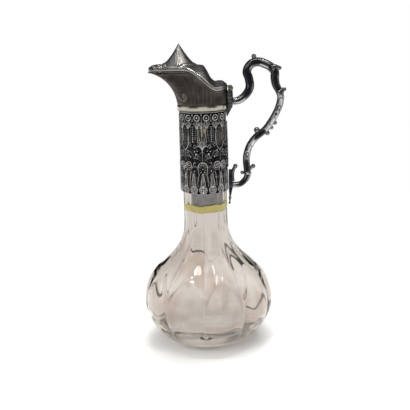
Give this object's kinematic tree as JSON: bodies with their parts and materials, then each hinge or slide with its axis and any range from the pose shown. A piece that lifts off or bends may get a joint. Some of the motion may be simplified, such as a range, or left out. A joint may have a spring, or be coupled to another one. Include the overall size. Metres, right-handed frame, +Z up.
{
  "type": "claret jug",
  "caption": "Lobed glass wine jug with a pierced silver-coloured neck mount, a spout cup, a hinged helmet lid and a scrolled handle.",
  "frame": {"origin": "centre of the ground foot, at the level that the jug stands on", "axes": "+Z up the neck's axis, -X towards the spout, +X towards the handle, Y across the jug"},
  "size_m": [0.1472, 0.131, 0.3004],
  "materials": {
    "clear_glass": "polished clear pressed glass",
    "dark_silver": "silver plate with dark patina in the recesses",
    "plain_silver": "silver plate, lightly tarnished",
    "bright_silver": "polished silver plate",
    "seal": "pale yellow sealing ring",
    "cement": "plaster cement"
  },
  "bodies": {
    "jug": {"glass_body": "clear_glass", "collar_sleeve": "dark_silver", "neck_band": "bright_silver", "spout_cup": "dark_silver", "neck_liner": "plain_silver", "seal_ring": "seal", "lip_cement": "cement", "hinge_bracket": "dark_silver", "hinge_pin": "bright_silver", "handle": "dark_silver", "lower_bracket": "dark_silver"},
    "lid": {"lid": "plain_silver", "lid_leaf": "plain_silver"}
  },
  "joints": [
    {"name": "lid_hinge", "type": "hinge", "parent": "jug", "child": "lid", "pos_m": [0.0275, 0, 0.25724], "axis": [0, 1, 0], "range_deg": [0, 82]}
  ]
}
